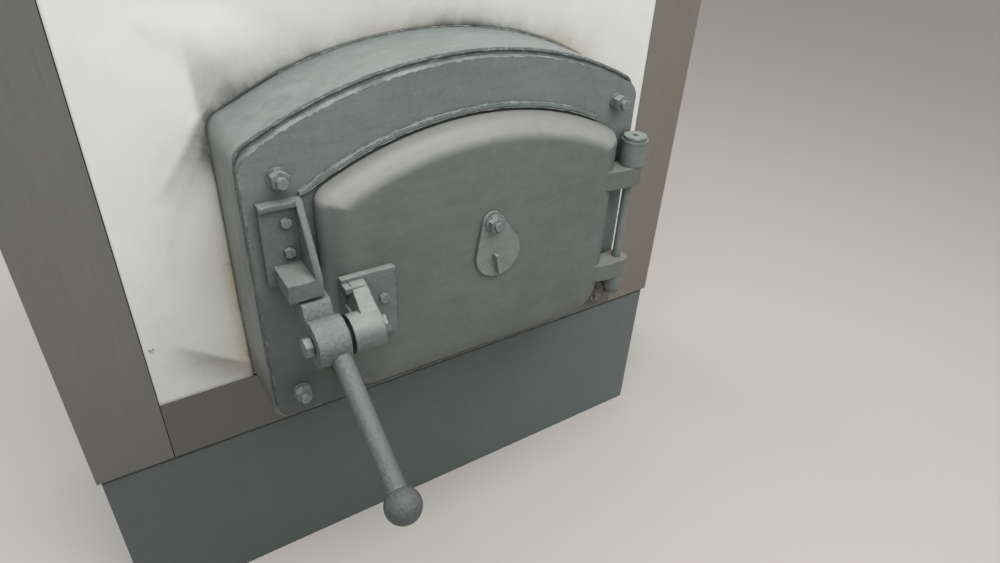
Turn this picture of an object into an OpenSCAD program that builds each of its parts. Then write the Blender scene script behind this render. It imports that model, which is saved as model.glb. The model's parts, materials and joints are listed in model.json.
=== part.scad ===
// Boiler front section with its fire door, seen from the floor up.
// Millimetres. X to the right, Y into the boiler, Z up.
// Origin: on the floor, on the section's middle line, in the plane of the casing's front face.

/* [Casing] */
// Width of the casing
casing_w = 1000; // [900:10:1200]
// Height of the casing's top above the floor
casing_h = 1100; // [1060:10:1300]
// Depth of the section, front face to rear face
casing_d = 390; // [340:10:600]
// Width of the upright corner trims, seen from the front
trim_w = 99; // [70:1:110]
// Depth of the corner trims along the sides
trim_d = 60; // [40:5:90]
// Height of the plinth, up to the shadow gap
plinth_h = 293; // [260:1:300]
// Height of the shadow gap between plinth and casing
shadow_gap = 4; // [2:1:8]
// How far the plinth stands in from the casing, all round
plinth_in = 5; // [2:1:12]
// Wall thickness of the plinth
plinth_t = 4; // [3:0.5:8]
// Width of the ledge on the plinth that carries the casing
ledge_w = 50; // [30:5:80]
// Height of the brushed strip under the front panel
low_strip_h = 98; // [80:1:110]
// Height of the brushed strip over the front panel
top_strip_h = 90; // [60:1:110]
// Thickness of the casing's sheet metal
sheet_t = 2; // [1.5:0.5:3]
// Depth of the folded edges of the sheets
fold_d = 16; // [10:1:20]
// Seam between neighbouring sheets
seam = 1; // [0.5:0.5:2]
// Diameter of the panel's screw heads
screw_d = 7; // [5:0.5:9]
// Panel screws, distance in from the panel's side
screw_in = 9; // [8:1:20]
// Lower panel screws, height above the panel's lower edge
screw_low = 92; // [30:1:120]
// Upper panel screws, distance below the panel's upper edge
screw_top = 62; // [30:1:120]

/* [Boiler body] */
// Thickness of the welded front plate behind the panel
plate_t = 8; // [6:1:12]
// Distance of the front plate behind the casing's front face
plate_y = 32; // [28:1:45]
// Thickness of the rear plate
rear_t = 8; // [6:1:12]
// Wall thickness of the furnace tunnel
tunnel_t = 8; // [6:1:12]
// Clearance of the insulation board all round
wool_clear = 1; // [0.5:0.5:3]

/* [Mouthpiece and frame] */
// Width of the mouthpiece
mouth_w = 550; // [500:5:600]
// Underside of the mouthpiece above the floor
mouth_z0 = 399; // [397:1:420]
// Top of the mouthpiece's arch above the floor
mouth_top = 851; // [800:1:880]
// Radius of the mouthpiece's arch
mouth_r = 562; // [540:1:700]
// Crown of the mouthpiece's arch, to the right of its middle
crown_x = 7; // [0:1:12]
// Wall thickness of the mouthpiece
mouth_t = 10; // [6:1:14]
// How far the mouthpiece stands out from the casing
mouth_d = 105; // [80:1:130]
// Gap of the front panel round the mouthpiece
mouth_gap = 0.3; // [0.3:0.1:2]
// Step of the frame in from the mouthpiece's outside
frame_in = 2; // [0:0.5:4]
// Step of the frame up from the mouthpiece's underside
frame_rise = 11; // [0:0.5:12]
// Step of the frame down from the mouthpiece's top
frame_drop = 8; // [0:0.5:10]
// Thickness of the frame
frame_t = 12; // [10:1:18]
// Radius of the frame's upper corners
corner_r = 26; // [18:1:34]
// Radius of the frame's lower corners
low_corner_r = 20; // [12:1:28]
// How far the door laps over the frame's opening
lap = 25; // [20:1:32]
// Width of the raised rib over the door
lip_w = 4.5; // [3:0.5:8]
// Height of the raised rib over the door
lip_h = 5; // [3:0.5:8]
// Gap between the door's edge and the raised rib
lip_gap = 5; // [5:0.5:10]
// Where the raised rib ends, in from the door's right edge
lip_end = 30; // [10:1:60]

/* [Frame studs] */
// Thread size of the frame's studs
stud_d = 12; // [10:1:16]
// Width across flats of the stud nuts
nut_af = 19; // [17:1:24]
// Height of the stud nuts
nut_h = 11; // [8:1:14]
// Diameter of the stud washers
washer_d = 24; // [24:1:32]
// Thickness of the washers
washer_t = 2.5; // [2:0.5:4]
// How far a stud's end stands out of its nut
stud_out = 7; // [3:0.5:10]
// Upper left stud, distance in from the frame's side
stud_in_left = 40; // [32:1:45]
// Upper right stud, distance in from the frame's side
stud_in_right = 35; // [26:1:36]
// Lower studs, distance in from the frame's sides
stud_in_low = 33; // [26:1:36]
// Upper left stud, distance below the arch's top
stud_top_left = 98; // [88:1:102]
// Upper right stud, distance below the arch's top
stud_top_right = 82; // [78:1:96]
// Lower studs, height above the frame's underside
stud_low = 35; // [28:1:36]

/* [Door] */
// Left edge of the door, in from the frame's left side
door_in_left = 74; // [70:1:90]
// Right edge of the door, in from the frame's right side
door_in_right = 38; // [37:1:50]
// Underside of the door above the frame's underside
door_up = 20; // [18:1:40]
// Top of the door's arch below the frame's top
door_down = 65; // [55:1:75]
// Radius of the door's arch
door_r = 445; // [400:1:500]
// Radius of the door's upper corners
door_corner = 25; // [20:1:40]
// Radius of the door's lower corners
door_low_corner = 55; // [50:1:65]
// Thickness of the door
door_t = 29; // [27:1:36]
// Width of the rounded edge of the door
pillow = 34; // [18:1:38]
// Depth of the rounded edge of the door
pillow_d = 25; // [15:1:25]
// Thickness of the rope seal, and of the gap behind the door
seal_t = 4; // [3:0.5:8]
// Width of the rope seal
seal_w = 12; // [8:1:14]
// Gap between the seal and what it lies against
seal_gap = 0.3; // [0.2:0.1:0.5]
// Gap all round between the heat shield and the frame's opening
shield_gap = 14; // [12:1:20]
// Thickness of the heat shield
shield_t = 6; // [4:1:8]
// Distance of the heat shield behind the door
shield_d = 20; // [16:1:30]
// Diameter of the heat shield's spacers
spacer_d = 22; // [16:1:26]
// Spacers, distance in from the heat shield's sides and lower edge
spacer_in = 36; // [24:1:60]
// Upper spacers, distance below the shield's top
spacer_top = 92; // [70:1:120]

/* [Hinges] */
// Hinge axis, in from the frame's right side
pin_in = 9; // [4:1:12]
// Hinge axis in front of the frame's face
pin_y = 21; // [20:0.5:24]
// Diameter of the hinge rod
pin_d = 13; // [12:0.5:18]
// Radial running clearance of the rod in the door's lugs
pin_clear = 0.08; // [0.05:0.01:0.1]
// Outer diameter of the upper eye on the frame
eye_d = 37; // [33:1:38]
// Outer diameter of the lower eye on the frame
low_eye_d = 30; // [28:1:37]
// Outer diameter of the lugs on the door
lug_d = 34; // [26:0.5:36]
// Height of the door's lugs
lug_h = 28; // [24:1:36]
// Height of the upper eye
eye_h = 33; // [20:1:40]
// Height of the lower eye
low_eye_h = 28; // [20:1:36]
// Length of the rod's end below the lower eye
rod_end = 12; // [8:1:20]
// Gap between a lug and its eye
eye_gap = 0.5; // [0.3:0.1:1]
// Top of the upper lug above the floor
lug_hi = 672; // [660:1:700]
// Top of the lower lug above the floor
lug_lo = 517; // [505:1:540]
// Diameter of the washer on top of the upper eye
cap_d = 38; // [28:1:40]
// Thickness of the washer on top of the upper eye
cap_t = 5; // [3:0.5:6]
// Diameter of the rod's head
head_d = 33; // [22:1:36]
// Height of the rod's head
head_h = 4; // [3:0.5:8]

/* [Keeper] */
// Left edge of the keeper, in from the frame's side
keeper_in = 12; // [9:1:18]
// Width of the keeper's base plate
keeper_w = 48; // [42:1:49]
// Underside of the keeper's base plate above the floor
keeper_z0 = 617; // [610:1:640]
// Height of the keeper's base plate
keeper_h = 103; // [80:1:110]
// Thickness of the keeper's base plate
keeper_t = 9; // [7:1:12]
// Width of the keeper's ribs
rib_w = 8; // [6:1:10]
// Height of the keeper's ribs above the frame's face
rib_h = 24; // [18:1:28]
// Height of the side rib at its upper end, above the frame's face
rib_low_h = 13; // [11:1:24]
// How far the keeper's block stands out from the frame's face
block_d = 56; // [48:1:58]
// Height of the keeper's block
block_h = 23; // [16:1:26]
// Width of the keeper's block
block_w = 40; // [36:1:44]
// Width across flats of the small bolt heads
bolt_af = 11; // [10:1:15]
// Height of the small bolt heads
bolt_h = 6; // [4:0.5:8]
// Keeper bolts, distance from the plate's left side
keeper_bolts_in = 27.5; // [20:0.5:30]
// Distance between the keeper's two bolts
keeper_bolts_z = 38; // [30:1:44]

/* [Lever] */
// Diameter of the lever's hub
hub_d = 54; // [44:1:56]
// Length of the lever's hub
hub_l = 37; // [32:1:42]
// Right end of the hub, to the left of the door's left edge
hub_out = 6; // [3:1:8]
// Lever axis in front of the frame's face
hub_y = 83; // [80:1:90]
// Lever axis above the floor
hub_z = 578; // [574:1:582]
// Diameter of the lever's pivot bolt
pivot_d = 14; // [10:1:16]
// Diameter of the lever's rod
rod_d = 23; // [20:1:26]
// Middle of the rod, in from the hub's right end
rod_in = 12; // [12:1:20]
// Distance from the lever's axis to the middle of its ball
rod_l = 198; // [170:1:220]
// Angle of the rod below the horizontal when locked
rod_a = 31; // [25:1:40]
// Diameter of the ball
ball_d = 41; // [36:1:46]
// Clearance between the lever's nose and the keeper's block
nose_gap = 5; // [5:0.5:8]
// Clearance between the lever's nose and the door's left edge
nose_side = 8.5; // [6:0.5:10]
// Thickness of the lever's nose
nose_t = 13; // [10:1:16]
// How far the nose reaches in under the block from the hub's axis
nose_reach = 58; // [50:1:60]

/* [Door bracket] */
// Gap between the hub and the bracket's barrel
barrel_gap = 6; // [5:0.5:8]
// Diameter of the bracket's barrel
barrel_d = 47; // [42:1:50]
// Length of the bracket's barrel
barrel_l = 37; // [30:1:42]
// Left side of the base plate, in from the barrel's left end
base_in = 10; // [4:1:14]
// Width of the bracket's base plate
base_w = 68; // [60:1:74]
// Height of the bracket's base plate
base_h = 96; // [88:1:106]
// Top of the base plate above the lever's axis
base_up = 46; // [42:1:54]
// Thickness of the base plate
base_t = 10; // [8:1:12]
// Middle of the bracket's rib, in from the barrel's left end
web_in = 28; // [20:1:28]
// Width of the bracket's rib at its top
web_w = 18; // [12:1:22]
// Width of the bracket's rib at the barrel
web_low_w = 23; // [19:1:30]

/* [Sight hole] */
// Pivot of the sight cover, to the right of the door's middle
sight_in = 2; // [-20:1:20]
// Pivot of the sight cover above the floor
sight_z = 645; // [630:1:660]
// Distance from the pivot down to the middle of the cover's disc
sight_l = 50; // [44:1:54]
// Angle at which the cover hangs
sight_a = 12; // [0:1:15]
// Diameter of the cover's disc
sight_d = 68; // [56:1:72]
// Diameter of the cover's upper end
sight_top_d = 30; // [26:1:34]
// Thickness of the cover
sight_t = 4; // [3:0.5:6]
// Gap between the cover and the door
sight_gap = 1; // [0.5:0.5:2]
// Distance of the cover's fin from its middle line
fin_in = 6; // [0:1:10]
// Height of the cover's fin
fin_h = 9; // [6:1:14]
// Diameter of the sight hole
sight_hole_d = 28; // [22:1:34]
// Diameter of the cover's pivot stud
sight_stud_d = 12; // [10:1:14]
// Width across flats of the pivot stud's nut
sight_nut_af = 19; // [17:1:22]

/* [Hidden] */
e = 0.01;
// how far a corner's circle passes the lines it joins, so that they cross
blend = 0.02;
hw = casing_w / 2;
base_z = plinth_h + shadow_gap;
panel_z0 = base_z + low_strip_h + seam;
panel_z1 = casing_h - sheet_t - top_strip_h - seam;
panel_hw = hw - trim_w - seam;
// frame's front face, and where things on it start
face_y = -(mouth_d + frame_t);
frame_hw = mouth_w / 2 - frame_in;
frame_z0 = mouth_z0 + frame_rise;
frame_top = mouth_top - frame_drop;
frame_r = mouth_r - frame_in;
// door
door_left = -frame_hw + door_in_left;
door_right = frame_hw - door_in_right;
door_hw = (door_right - door_left) / 2;
door_cx = (door_right + door_left) / 2;
door_z0 = frame_z0 + door_up;
door_top = frame_top - door_down;
door_back = face_y - seal_t - seal_gap;
door_face = door_back - door_t;
pillow_n = 8;
// hinges
pin_x = frame_hw - pin_in;
axis_y = face_y - pin_y;
eye_z0 = lug_hi + eye_gap;
low_eye_z1 = lug_lo - lug_h - eye_gap;
bore_d = pin_d + 2 * pin_clear;
// lever and bracket
hub_x1 = door_left - hub_out;
hub_x0 = hub_x1 - hub_l;
rod_x0 = hub_x1 - rod_in;
lever_y = face_y - hub_y;
barrel_x0 = hub_x1 + barrel_gap;
// sight hole
sight_x = door_cx + sight_in;
hole_x = sight_x + sight_l * sin(sight_a);
hole_z = sight_z - sight_l * cos(sight_a);
steel = [0.36, 0.40, 0.40];

// Arched outline with straight sides, its crown at cx, rounded upper and lower corners, exact arcs.
module arch2d(w2, z0, z1, r, cx, rc, rl) {
    cz = z1 - r;
    xl = -w2 + rc;
    xr = w2 - rc;
    fl = cz + sqrt((r - rc) * (r - rc) - (xl - cx) * (xl - cx));
    fr = cz + sqrt((r - rc) * (r - rc) - (xr - cx) * (xr - cx));
    k = 1.1 * r / (r - rc);
    intersection() {
        translate([cx, cz])
            circle(r = r, $fn = 240);
        polygon([
            [xl, fl],
            [xr, fr],
            [cx + (xr - cx) * k, cz + (fr - cz) * k],
            [cx + (xr - cx) * k, cz + 1.3 * r],
            [cx + (xl - cx) * k, cz + 1.3 * r],
            [cx + (xl - cx) * k, cz + (fl - cz) * k]
        ]);
    }
    translate([xl, fl])
        circle(r = rc + blend, $fn = 64);
    translate([xr, fr])
        circle(r = rc + blend, $fn = 64);
    polygon([
        [-w2, z0 + rl],
        [-w2 + rl, z0],
        [w2 - rl, z0],
        [w2, z0 + rl],
        [w2, fr],
        [xr, fr],
        [xl, fl],
        [-w2, fl]
    ]);
    for (s = [-1, 1])
        translate([s * (w2 - rl), z0 + rl])
            circle(r = rl + blend, $fn = 64);
}

// Stands an XZ outline up, from y0 to y1.
module stand(y0, y1) {
    translate([0, y1, 0])
        rotate([90, 0, 0])
            linear_extrude(height = y1 - y0)
                children();
}

// Extrudes a YZ outline along X, from x0 to x1.
module across(x0, x1) {
    translate([x0, 0, 0])
        rotate([90, 0, 90])
            linear_extrude(height = x1 - x0)
                children();
}

module block(x0, x1, y0, y1, z0, z1) {
    translate([x0, y0, z0])
        cube([x1 - x0, y1 - y0, z1 - z0]);
}

module mouth2d(d) {
    arch2d(mouth_w / 2 + d, mouth_z0 - d, mouth_top + d, mouth_r + d, crown_x, corner_r + d,
        low_corner_r + d);
}

module frame2d() {
    arch2d(frame_hw, frame_z0, frame_top, frame_r, crown_x, corner_r, low_corner_r);
}

module door2d(d) {
    translate([door_cx, 0])
        arch2d(door_hw + d, door_z0 - d, door_top + d, door_r + d, 0, max(door_corner + d, 3),
            max(door_low_corner + d, 6));
}

function arc_pts(x, z, r, a0, a1, n) =
    [for (i = [0:n]) [x + r * cos(a0 + (a1 - a0) * i / n), z + r * sin(a0 + (a1 - a0) * i / n)]];

// The door's outline again, stepped in by d, with the same number of points at each step.
module door_step2d(d) {
    w = door_hw - d;
    rc = max(door_corner - d, 3);
    rl = max(door_low_corner - d, 6);
    r = door_r - d;
    cz = door_top - door_r;
    f = cz + sqrt((r - rc) * (r - rc) - (w - rc) * (w - rc));
    ta = atan2(f - cz, w - rc);
    arch = arc_pts(0, cz, r, ta, 180 - ta, 28);
    translate([door_cx, 0])
        polygon(concat(
            arc_pts(-w + rl, door_z0 + d + rl, rl, 180, 270, 8),
            arc_pts(w - rl, door_z0 + d + rl, rl, 270, 360, 8),
            arc_pts(w - rc, f, rc, 0, ta, 6),
            [for (i = [1:27]) arch[i]],
            arc_pts(-w + rc, f, rc, 180 - ta, 180, 6)
        ));
}

module opening2d(d) {
    translate([door_cx, 0])
        arch2d(door_hw - lap + d, door_z0 + lap - d, door_top - lap + d, door_r - lap + d, 0,
            max(door_corner - lap + d, 4), max(door_low_corner - lap + d, 6));
}

// Bolt or nut head with its axis along -Y, its seat at y.
module hex_y(x, y, z, af, h) {
    translate([x, y, z])
        rotate([90, 30, 0])
            cylinder(d = af / cos(30), h = h, $fn = 6);
}

module disc_y(x, y, z, d, h) {
    translate([x, y, z])
        rotate([90, 0, 0])
            cylinder(d = d, h = h, $fn = 48);
}

module rod_x(x0, x1, y, z, d) {
    translate([x0, y, z])
        rotate([0, 90, 0])
            cylinder(d = d, h = x1 - x0, $fn = 64);
}

module plinth() {
    color([0.27, 0.32, 0.33]) {
        difference() {
            block(-hw + plinth_in, hw - plinth_in, plinth_in, casing_d, 0, plinth_h);
            block(-hw + plinth_in + plinth_t, hw - plinth_in - plinth_t, plinth_in + plinth_t,
                casing_d - plinth_t, -1, plinth_h + 1);
        }
        difference() {
            block(-hw + 3 * plinth_in, hw - 3 * plinth_in, 3 * plinth_in, casing_d - plinth_t / 2,
                plinth_h - plinth_t, base_z);
            block(-hw + ledge_w, hw - ledge_w, ledge_w, casing_d - ledge_w, 0, base_z + 1);
        }
        difference() {
            block(-hw + plinth_in + e, hw - plinth_in - e, plinth_in + e, casing_d - e,
                plinth_h - plinth_t, plinth_h);
            block(-hw + ledge_w, hw - ledge_w, ledge_w, casing_d - ledge_w, 0, base_z + 1);
        }
    }
}

module trim(s) {
    color([0.45, 0.43, 0.41])
    mirror([s > 0 ? 0 : 1, 0, 0]) {
        block(hw - trim_w, hw, 0, sheet_t, base_z, casing_h - sheet_t);
        block(hw - sheet_t, hw, 0, trim_d, base_z, casing_h - sheet_t);
        block(hw - trim_w, hw - trim_w + sheet_t, 0, fold_d, base_z, casing_h - sheet_t);
        block(hw - fold_d, hw - sheet_t + e, trim_d - sheet_t, trim_d, base_z, casing_h - sheet_t);
    }
}

module left_trim() {
    trim(-1);
}

module right_trim() {
    trim(1);
}

module strip(z0, z1) {
    color([0.47, 0.45, 0.42]) {
        block(-panel_hw, panel_hw, 0, sheet_t, z0, z1);
        block(-panel_hw, panel_hw, 0, fold_d, z0, z0 + sheet_t);
        block(-panel_hw, panel_hw, 0, fold_d, z1 - sheet_t, z1);
    }
}

module low_strip() {
    strip(base_z, panel_z0 - seam);
}

module top_strip() {
    strip(panel_z1 + seam, casing_h - sheet_t);
}

module front_panel() {
    color([0.83, 0.84, 0.82])
    difference() {
        union() {
            block(-panel_hw, panel_hw, 0, sheet_t, panel_z0, panel_z1);
            for (s = [-1, 1])
                mirror([s > 0 ? 0 : 1, 0, 0])
                    block(panel_hw - sheet_t, panel_hw, 0, fold_d, panel_z0, panel_z1);
            block(-panel_hw, panel_hw, 0, fold_d, panel_z1 - sheet_t, panel_z1);
        }
        stand(-1, plate_y)
            mouth2d(mouth_gap);
        block(-mouth_w / 2 + low_corner_r, mouth_w / 2 - low_corner_r, -1, plate_y,
            panel_z0 - 1, mouth_z0 + 5);
        block(-mouth_w / 2 - mouth_gap, mouth_w / 2 + mouth_gap, -1, plate_y,
            panel_z0 - 1, mouth_z0 + low_corner_r);
    }
}

module side_panel(s) {
    color([0.83, 0.84, 0.82])
    mirror([s > 0 ? 0 : 1, 0, 0]) {
        block(hw - sheet_t, hw, trim_d + seam, casing_d, base_z, casing_h - sheet_t);
        block(hw - fold_d, hw - sheet_t + e, trim_d + seam, trim_d + seam + sheet_t, base_z,
            casing_h - sheet_t);
    }
}

module left_side_panel() {
    side_panel(-1);
}

module right_side_panel() {
    side_panel(1);
}

module top_cover() {
    color([0.83, 0.84, 0.82])
        block(-hw, hw, 0, casing_d, casing_h - sheet_t, casing_h);
}

module panel_screws() {
    color([0.6, 0.6, 0.58])
    for (x = [-panel_hw + screw_in, panel_hw - screw_in])
        for (z = [panel_z0 + screw_low, panel_z1 - screw_top])
            disc_y(x, 0, z, screw_d, 1.6);
}

module front_insulation() {
    color([0.72, 0.68, 0.5])
    difference() {
        block(-panel_hw + sheet_t + wool_clear, panel_hw - sheet_t - wool_clear,
            sheet_t + 0.3, plate_y - 0.3, base_z + sheet_t + wool_clear,
            casing_h - 2 * sheet_t - wool_clear);
        stand(0, plate_y)
            mouth2d(wool_clear);
        block(-panel_hw, panel_hw, -1, fold_d + 1, panel_z0 - seam - sheet_t - wool_clear,
            panel_z0 + wool_clear);
        block(-panel_hw, panel_hw, -1, fold_d + 1, panel_z1 - sheet_t - wool_clear,
            panel_z1 + seam + sheet_t + wool_clear);
    }
}

module front_plate() {
    color([0.2, 0.2, 0.2])
    difference() {
        block(-hw + sheet_t + fold_d, hw - sheet_t - fold_d, plate_y, plate_y + plate_t, base_z,
            casing_h - sheet_t);
        stand(0, casing_d)
            opening2d(tunnel_t);
    }
}

module furnace_tunnel() {
    color([0.22, 0.2, 0.19])
    difference() {
        stand(-mouth_d, casing_d - rear_t)
            opening2d(tunnel_t);
        stand(-mouth_d - 1, casing_d + 1)
            opening2d(0);
    }
}

module rear_plate() {
    color([0.2, 0.2, 0.2])
    difference() {
        block(-hw + sheet_t, hw - sheet_t, casing_d - rear_t, casing_d, base_z, casing_h - sheet_t);
        stand(0, casing_d + 1)
            opening2d(0);
    }
}

module mouthpiece() {
    color([0.42, 0.47, 0.46])
    difference() {
        stand(-mouth_d, plate_y)
            mouth2d(0);
        stand(-mouth_d - 1, plate_y + 1)
            mouth2d(-mouth_t);
    }
}

module door_frame() {
    color(steel)
    difference() {
        union() {
            stand(face_y, -mouth_d)
                frame2d();
            // raised rib over the door
            intersection() {
                stand(face_y - lip_h, face_y + 1)
                    translate([door_cx, door_top - door_r])
                        difference() {
                            circle(r = door_r + lip_gap + lip_w, $fn = 240);
                            circle(r = door_r + lip_gap, $fn = 240);
                        }
                block(-frame_hw + keeper_in + keeper_w, door_right - lip_end, face_y - lip_h - 1, 0,
                    keeper_z0, frame_top);
            }
            translate([pin_x, axis_y, eye_z0])
                cylinder(d = eye_d, h = eye_h, $fn = 64);
            block(pin_x - pin_in, frame_hw, axis_y, face_y + e, eye_z0, eye_z0 + eye_h);
            translate([pin_x, axis_y, low_eye_z1 - low_eye_h])
                cylinder(d = low_eye_d, h = low_eye_h, $fn = 64);
            block(pin_x - pin_in, frame_hw, axis_y, face_y + e, low_eye_z1 - low_eye_h, low_eye_z1);
        }
        stand(face_y - 10, 0)
            opening2d(0);
        translate([pin_x, axis_y, eye_z0 - 1])
            cylinder(d = bore_d, h = eye_h + 2, $fn = 48);
        translate([pin_x, axis_y, low_eye_z1 - low_eye_h - 1])
            cylinder(d = bore_d, h = low_eye_h + 2, $fn = 48);
    }
}

module frame_studs() {
    places = [
        [-frame_hw + stud_in_low, frame_z0 + stud_low],
        [frame_hw - stud_in_low, frame_z0 + stud_low],
        [-frame_hw + stud_in_left, frame_top - stud_top_left],
        [frame_hw - stud_in_right, frame_top - stud_top_right]
    ];
    color(steel)
    for (p = places) {
        disc_y(p[0], face_y, p[1], washer_d, washer_t);
        hex_y(p[0], face_y - washer_t, p[1], nut_af, nut_h);
        disc_y(p[0], face_y - washer_t, p[1], stud_d, nut_h + stud_out);
    }
}

module rope_seal() {
    color([0.75, 0.72, 0.62])
    stand(face_y - seal_t, face_y)
        difference() {
            opening2d(lap / 2 + seal_w / 2);
            opening2d(lap / 2 - seal_w / 2);
        }
}

module keeper_bracket() {
    x0 = -frame_hw + keeper_in;
    x1 = x0 + keeper_w;
    color(steel) {
        block(x0, x1, face_y - keeper_t, face_y, keeper_z0, keeper_z0 + keeper_h);
        // side rib, from the top ledge out to the block's front edge
        across(x1 - rib_w, x1)
            polygon([
                [face_y, keeper_z0 + keeper_h],
                [face_y - rib_low_h, keeper_z0 + keeper_h],
                [face_y - block_d, keeper_z0 + 3 + block_h],
                [face_y - block_d, keeper_z0 + 8 + block_h / 2],
                [face_y, keeper_z0 + 8]
            ]);
        block(x0, x1 - rib_w + e, face_y - rib_low_h - 2, face_y, keeper_z0 + keeper_h - rib_w + 2,
            keeper_z0 + keeper_h);
        across(x1 - block_w, x1)
            polygon([
                [face_y, keeper_z0 + 3 + block_h],
                [face_y - block_d, keeper_z0 + 3 + block_h],
                [face_y - block_d, keeper_z0 + 3],
                [face_y - block_d + 12, keeper_z0 + 3],
                [face_y - keeper_t, keeper_z0 + 10],
                [face_y, keeper_z0 + 10]
            ]);
    }
}

module keeper_bolts() {
    x = -frame_hw + keeper_in + keeper_bolts_in;
    color(steel)
    for (z = [0, keeper_bolts_z])
        hex_y(x, face_y - keeper_t, keeper_z0 + 41 + z, bolt_af, bolt_h);
}

module hinge_rod() {
    z0 = low_eye_z1 - low_eye_h - rod_end;
    z1 = eye_z0 + eye_h;
    color(steel)
    difference() {
        union() {
            translate([pin_x, axis_y, z0])
                cylinder(d = pin_d, h = z1 + 1 - z0, $fn = 48);
            translate([pin_x, axis_y, z1])
                cylinder(d = cap_d, h = cap_t - 0.8, $fn = 72);
            translate([pin_x, axis_y, z1 + cap_t - 0.8 - e])
                cylinder(d = head_d - 3, h = 0.8 + 2 * e, $fn = 64);
            translate([pin_x, axis_y, z1 + cap_t])
                cylinder(d = head_d, h = head_h, $fn = 64);
            // collar under the lower eye
            translate([pin_x, axis_y, z0 + 3])
                cylinder(d = low_eye_d - 6, h = rod_end - 3, $fn = 64);
        }
        translate([pin_x, axis_y, z1 + cap_t + head_h - 2])
            cylinder(d = 8, h = 3, $fn = 32);
    }
}

// Arm of a lug, from the door's rounded edge out to the hinge axis.
module lug(z) {
    translate([pin_x, axis_y, z])
        cylinder(d = lug_d, h = lug_h, $fn = 64);
    translate([0, 0, z])
        linear_extrude(height = lug_h)
            polygon([
                [pin_x, axis_y - lug_d / 2],
                [door_right, axis_y - lug_d / 2 + 0.5],
                [door_right - pillow + 6, door_face + 1.5],
                [door_right - pillow + 6, door_back - 5],
                [door_right + 3, axis_y + lug_d / 2 - 3],
                [pin_x, axis_y + lug_d / 2]
            ]);
}

module door_leaf() {
    color(steel)
    difference() {
        union() {
            hull() {
                stand(door_back - 1, door_back)
                    door_step2d(1);
                stand(door_back - 2, door_back - 1)
                    door_step2d(0);
                for (i = [0:pillow_n])
                    stand(door_face + pillow_d * (1 - sin(90 * i / pillow_n)),
                        door_face + pillow_d * (1 - sin(90 * i / pillow_n)) + 0.5)
                        door_step2d(pillow * (1 - cos(90 * i / pillow_n)));
            }
            lug(lug_hi - lug_h);
            lug(lug_lo - lug_h);
        }
        translate([pin_x, axis_y, lug_hi - lug_h - 1])
            cylinder(d = bore_d, h = lug_h + 2, $fn = 48);
        translate([pin_x, axis_y, lug_lo - lug_h - 1])
            cylinder(d = bore_d, h = lug_h + 2, $fn = 48);
        disc_y(hole_x, door_back + 1, hole_z, sight_hole_d, door_t + 2);
    }
}

module heat_shield() {
    y0 = door_back + shield_d;
    color([0.3, 0.26, 0.23])
    difference() {
        stand(y0, y0 + shield_t)
            opening2d(-shield_gap);
        disc_y(hole_x, y0 + shield_t + 1, hole_z, sight_hole_d + 4, shield_t + 2);
    }
}

module shield_spacers() {
    color([0.3, 0.28, 0.26])
    for (x = [-1, 1])
        for (z = [door_z0 + lap + shield_gap + spacer_in, door_top - lap - shield_gap - spacer_top])
            disc_y(door_cx + x * (door_hw - lap - shield_gap - spacer_in), door_back + shield_d, z,
                spacer_d, shield_d);
}

module door_bracket() {
    x0 = barrel_x0;
    z1 = hub_z + base_up;
    r = barrel_d / 2;
    xm = x0 + web_in;
    xp = x0 + base_in;
    color(steel)
    difference() {
        union() {
            block(xp, xp + base_w, door_face - base_t, door_face, z1 - base_h, z1);
            rod_x(x0, x0 + barrel_l, lever_y, hub_z, barrel_d);
            // rib, wider at the barrel
            intersection() {
                across(xm - web_low_w, xm + web_low_w)
                    polygon([
                        [door_face - base_t + e, z1 - 4],
                        [door_face - base_t - 8, z1 - 4],
                        [lever_y - (r - 1) * cos(40), hub_z + (r - 1) * sin(40)],
                        [lever_y, hub_z - r + 1],
                        [door_face - base_t + e, hub_z - r + 1]
                    ]);
                stand(lever_y - r, door_face)
                    polygon([
                        [xm - web_w / 2, z1],
                        [xm + web_w / 2, z1],
                        [x0 + barrel_l - 0.5, hub_z + 8],
                        [x0 + barrel_l - 0.5, hub_z - r],
                        [x0 + barrel_l - 0.5 - web_low_w, hub_z - r],
                        [x0 + barrel_l - 0.5 - web_low_w, hub_z + 8]
                    ]);
            }
            // wing on top of the rib
            block(xp, xm + web_w / 2 - 2, door_face - base_t - 13, door_face - base_t + e,
                z1 - 12, z1 - 5);
            // saddle between barrel and base plate
            block(xp + 1, x0 + barrel_l - 1, lever_y, door_face - base_t + e, hub_z - r * 0.55,
                hub_z + r * 0.55);
        }
        rod_x(x0 - 1, x0 + barrel_l + 1, lever_y, hub_z, pivot_d + 2 * pin_clear);
    }
}

module bracket_bolts() {
    color(steel)
    for (z = [hub_z + 8, hub_z + base_up - base_h + 12])
        hex_y(barrel_x0 + base_in + base_w - 17, door_face - base_t, z, bolt_af, bolt_h);
}

module pivot_bolt() {
    color(steel) {
        rod_x(hub_x0 - 1, barrel_x0 + barrel_l + 4, lever_y, hub_z, pivot_d);
        translate([hub_x0 - 1 - 9, lever_y, hub_z])
            rotate([0, 90, 0])
                cylinder(d = 21 / cos(30), h = 9 + e, $fn = 6);
        rod_x(hub_x1 + 0.3, barrel_x0 - 0.3, lever_y, hub_z, pivot_d + 10);
        translate([barrel_x0 + barrel_l + 0.3, lever_y, hub_z])
            rotate([0, 90, 0])
                cylinder(d = 21 / cos(30), h = 8, $fn = 6);
    }
}

module sight_stud() {
    y0 = door_face;
    color(steel) {
        disc_y(sight_x, y0, sight_z, sight_stud_d, sight_gap + sight_t + 16);
        disc_y(sight_x, y0 - sight_gap - sight_t - 1, sight_z, sight_stud_d + 12, 2);
        hex_y(sight_x, y0 - sight_gap - sight_t - 3 + e, sight_z, sight_nut_af, 9);
    }
}

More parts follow.
